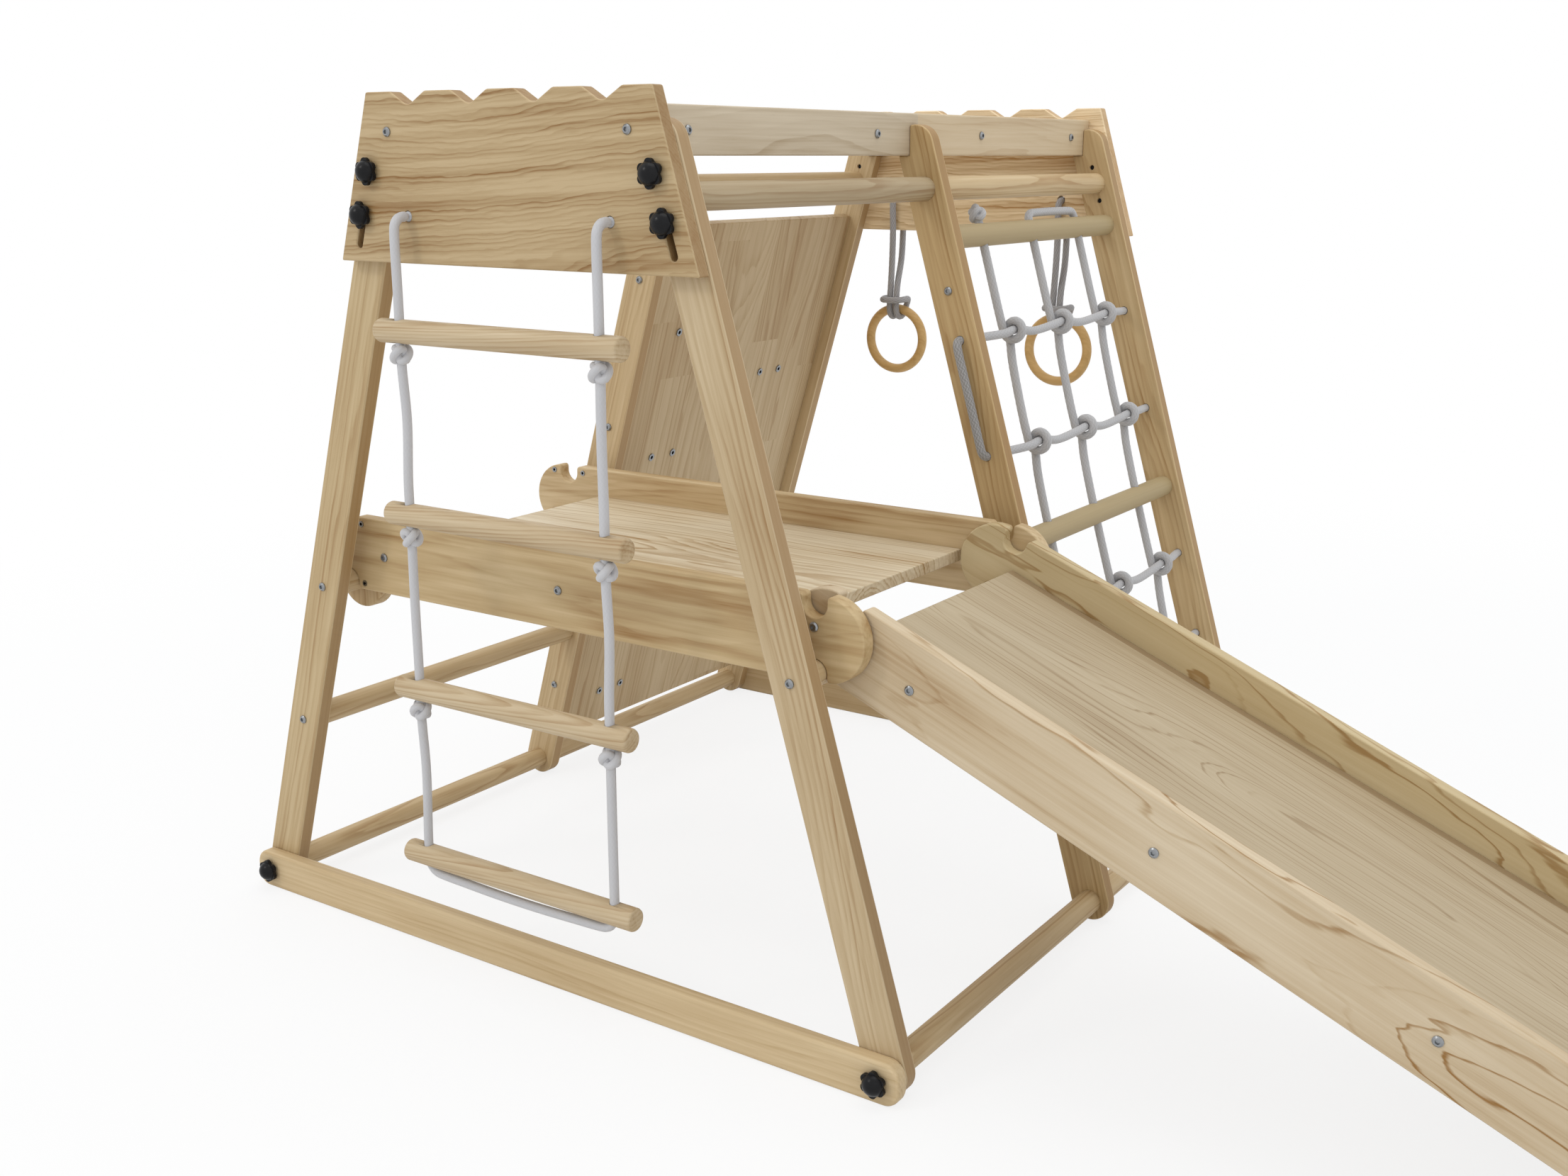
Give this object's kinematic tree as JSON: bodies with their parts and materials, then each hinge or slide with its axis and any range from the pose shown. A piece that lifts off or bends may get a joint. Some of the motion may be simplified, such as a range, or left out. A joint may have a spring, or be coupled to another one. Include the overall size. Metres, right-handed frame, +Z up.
{
  "type": "wooden climbing frame",
  "caption": "Free-standing wooden A-frame climber with rope ladder, rope net, hanging rings, climbing wall, hook-on platform and hook-on slide.",
  "frame": {"origin": "on the floor, at the middle of the underside of the front base rail", "axes": "X across the ladder end towards the slide, Y back towards the rings, Z up"},
  "size_m": [2.2607, 1.3251, 1.2],
  "materials": {
    "pine": "clear-oiled pine",
    "pale_pine": "pale glued pine board",
    "olive_pine": "smooth darker dowel",
    "zinc": "zinc-plated",
    "white_rope": "braided cord",
    "grey_rope": "braided cord",
    "black_knob": "satin"
  },
  "bodies": {
    "frame": {"leg_front_left": "pine", "leg_front_right": "pine", "leg_middle_left": "pine", "leg_middle_right": "pine", "leg_back_left": "pine", "leg_back_right": "pine", "cross_bars": "pine", "end_panel_front": "pine", "end_panel_back": "pine", "base_rail_front": "pine", "base_rail_back": "pine", "hand_bar_left_front": "pine", "hand_bar_left_back": "pine", "hand_bar_right_front": "pine", "hand_bar_right_back": "pine", "platform_bar_left": "pine", "platform_bar_right": "pine", "climbing_bar_left": "pine", "foot_bar_left_front": "pine", "foot_bar_left_back": "pine", "foot_bar_right_front": "pine", "foot_bar_right_back": "pine", "climbing_holds": "pine", "top_rail_left": "pale_pine", "top_rail_right": "pale_pine", "climbing_wall": "pale_pine", "net_bars": "olive_pine", "hold_fasteners": "zinc", "frame_bolts": "zinc", "bar_studs": "zinc", "ladder_rope_ends": "white_rope", "climbing_net": "grey_rope"},
    "ladder": {"ladder_rope": "white_rope", "ladder_knots": "white_rope", "ladder_rungs": "pine"},
    "ring_left_body": {"ring_left": "pine", "ring_rope_left": "grey_rope"},
    "ring_right_body": {"ring_right": "pine", "ring_rope_right": "grey_rope"},
    "platform": {"platform_side_front": "pine", "platform_side_back": "pine", "platform_deck": "pale_pine", "platform_keepers": "pine", "platform_bolts": "zinc"},
    "slide": {"slide_side_front": "pine", "slide_side_back": "pine", "slide_deck": "pale_pine", "slide_bolts": "zinc"},
    "knob_front_left_high_body": {"knob_front_left_high": "black_knob"},
    "knob_front_left_low_body": {"knob_front_left_low": "black_knob"},
    "knob_front_left_base_body": {"knob_front_left_base": "black_knob"},
    "knob_front_right_high_body": {"knob_front_right_high": "black_knob"},
    "knob_front_right_low_body": {"knob_front_right_low": "black_knob"},
    "knob_front_right_base_body": {"knob_front_right_base": "black_knob"},
    "knob_back_left_high_body": {"knob_back_left_high": "black_knob"},
    "knob_back_left_low_body": {"knob_back_left_low": "black_knob"},
    "knob_back_left_base_body": {"knob_back_left_base": "black_knob"},
    "knob_back_right_high_body": {"knob_back_right_high": "black_knob"},
    "knob_back_right_low_body": {"knob_back_right_low": "black_knob"},
    "knob_back_right_base_body": {"knob_back_right_base": "black_knob"}
  },
  "joints": [
    {"name": "ladder_swing", "type": "hinge", "parent": "frame", "child": "ladder", "pos_m": [0, -0.0178, 1.04349], "axis": [-1, 0, 0], "range_deg": [-8, 40]},
    {"name": "ring_left_swing", "type": "hinge", "parent": "frame", "child": "ring_left_body", "pos_m": [-0.17087, 1.242, 1.04349], "axis": [0, 1, 0], "range_deg": [-20, 20]},
    {"name": "ring_right_swing", "type": "hinge", "parent": "frame", "child": "ring_right_body", "pos_m": [0.17087, 1.242, 1.04349], "axis": [0, 1, 0], "range_deg": [-20, 20]},
    {"name": "slide_lift", "type": "hinge", "parent": "frame", "child": "slide", "pos_m": [0.4151, 0.322, 0.50599], "axis": [0, -1, 0], "range_deg": [0, 12]},
    {"name": "platform_tilt", "type": "hinge", "parent": "frame", "child": "platform", "pos_m": [-0.4151, 0.322, 0.50599], "axis": [0, -1, 0], "range_deg": [0, 30]},
    {"name": "knob_front_left_high_turn", "type": "hinge", "parent": "frame", "child": "knob_front_left_high_body", "pos_m": [-0.23802, -0.011, 1.09999], "axis": [0, -1, 0], "continuous": true},
    {"name": "knob_front_left_low_turn", "type": "hinge", "parent": "frame", "child": "knob_front_left_low_body", "pos_m": [-0.25472, -0.011, 1.04399], "axis": [0, -1, 0], "continuous": true},
    {"name": "knob_front_left_base_turn", "type": "hinge", "parent": "frame", "child": "knob_front_left_base_body", "pos_m": [-0.557, -0.011, 0.03], "axis": [0, -1, 0], "continuous": true},
    {"name": "knob_front_right_high_turn", "type": "hinge", "parent": "frame", "child": "knob_front_right_high_body", "pos_m": [0.23802, -0.011, 1.09999], "axis": [0, -1, 0], "continuous": true},
    {"name": "knob_front_right_low_turn", "type": "hinge", "parent": "frame", "child": "knob_front_right_low_body", "pos_m": [0.25472, -0.011, 1.04399], "axis": [0, -1, 0], "continuous": true},
    {"name": "knob_front_right_base_turn", "type": "hinge", "parent": "frame", "child": "knob_front_right_base_body", "pos_m": [0.557, -0.011, 0.03], "axis": [0, -1, 0], "continuous": true},
    {"name": "knob_back_left_high_turn", "type": "hinge", "parent": "frame", "child": "knob_back_left_high_body", "pos_m": [-0.23802, 1.253, 1.09999], "axis": [0, 1, 0], "continuous": true},
    {"name": "knob_back_left_low_turn", "type": "hinge", "parent": "frame", "child": "knob_back_left_low_body", "pos_m": [-0.25472, 1.253, 1.04399], "axis": [0, 1, 0], "continuous": true},
    {"name": "knob_back_left_base_turn", "type": "hinge", "parent": "frame", "child": "knob_back_left_base_body", "pos_m": [-0.557, 1.253, 0.03], "axis": [0, 1, 0], "continuous": true},
    {"name": "knob_back_right_high_turn", "type": "hinge", "parent": "frame", "child": "knob_back_right_high_body", "pos_m": [0.23802, 1.253, 1.09999], "axis": [0, 1, 0], "continuous": true},
    {"name": "knob_back_right_low_turn", "type": "hinge", "parent": "frame", "child": "knob_back_right_low_body", "pos_m": [0.25472, 1.253, 1.04399], "axis": [0, 1, 0], "continuous": true},
    {"name": "knob_back_right_base_turn", "type": "hinge", "parent": "frame", "child": "knob_back_right_base_body", "pos_m": [0.557, 1.253, 0.03], "axis": [0, 1, 0], "continuous": true}
  ]
}
